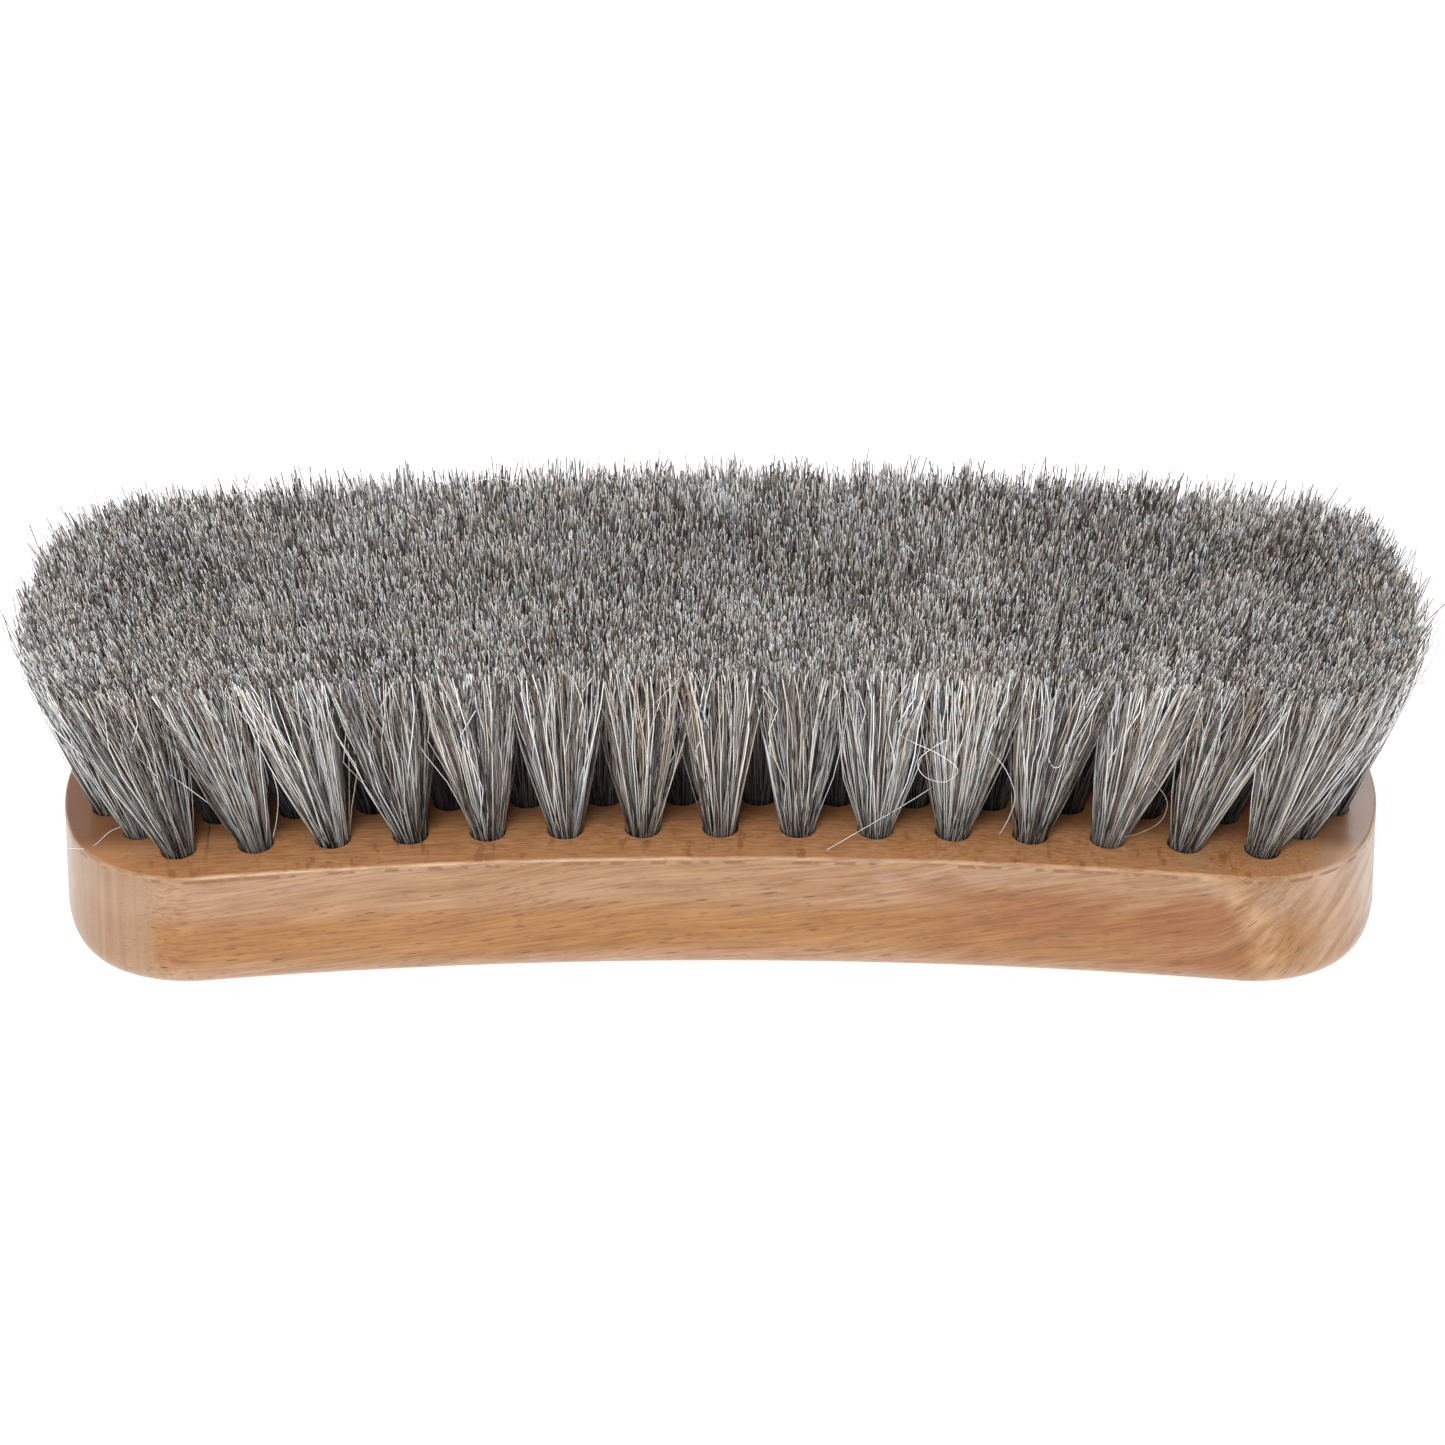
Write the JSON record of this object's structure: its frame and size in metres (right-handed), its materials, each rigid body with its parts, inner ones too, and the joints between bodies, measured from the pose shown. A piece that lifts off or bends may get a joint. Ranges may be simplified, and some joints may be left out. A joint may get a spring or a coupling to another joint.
{
  "type": "bee brush",
  "caption": "Hand brush with an arched varnished wood block and dense soft tufts of grey horsehair set in drilled holes, for sweeping and polishing.",
  "frame": {"origin": "under the middle of the block, on the surface that the two ends of its arched back rest on", "axes": "+X along the block, +Y across it, +Z out of the drilled face, the way the hair stands"},
  "size_m": [0.1816, 0.0496, 0.0508],
  "materials": {
    "beech": "clear satin varnish over beech",
    "horsehair": "undyed mixed grey horsehair",
    "anchor_wire": "bright drawn flat wire"
  },
  "bodies": {
    "root": {"anchor_front_01": "anchor_wire", "anchor_front_02": "anchor_wire", "anchor_front_03": "anchor_wire", "anchor_front_04": "anchor_wire", "anchor_front_05": "anchor_wire", "anchor_front_06": "anchor_wire", "anchor_front_07": "anchor_wire", "anchor_front_08": "anchor_wire", "anchor_front_09": "anchor_wire", "anchor_front_10": "anchor_wire", "anchor_front_11": "anchor_wire", "anchor_front_12": "anchor_wire", "anchor_front_13": "anchor_wire", "anchor_front_14": "anchor_wire", "anchor_front_15": "anchor_wire", "block": "beech", "inner_tufts_back": "horsehair", "inner_tufts_front": "horsehair", "inner_tufts_middle": "horsehair", "tuft_back_01": "horsehair", "tuft_back_02": "horsehair", "tuft_back_03": "horsehair", "tuft_back_04": "horsehair", "tuft_back_05": "horsehair", "tuft_back_06": "horsehair", "tuft_back_07": "horsehair", "tuft_back_08": "horsehair", "tuft_back_09": "horsehair", "tuft_back_10": "horsehair", "tuft_back_11": "horsehair", "tuft_back_12": "horsehair", "tuft_back_13": "horsehair", "tuft_back_14": "horsehair", "tuft_back_15": "horsehair", "tuft_front_01": "horsehair", "tuft_front_02": "horsehair", "tuft_front_03": "horsehair", "tuft_front_04": "horsehair", "tuft_front_05": "horsehair", "tuft_front_06": "horsehair", "tuft_front_07": "horsehair", "tuft_front_08": "horsehair", "tuft_front_09": "horsehair", "tuft_front_10": "horsehair", "tuft_front_11": "horsehair", "tuft_front_12": "horsehair", "tuft_front_13": "horsehair", "tuft_front_14": "horsehair", "tuft_front_15": "horsehair", "tuft_left_end_1": "horsehair", "tuft_left_end_2": "horsehair", "tuft_left_end_3": "horsehair", "tuft_left_end_4": "horsehair", "tuft_right_end_1": "horsehair", "tuft_right_end_2": "horsehair", "tuft_right_end_3": "horsehair", "tuft_right_end_4": "horsehair"}
  },
  "joints": []
}
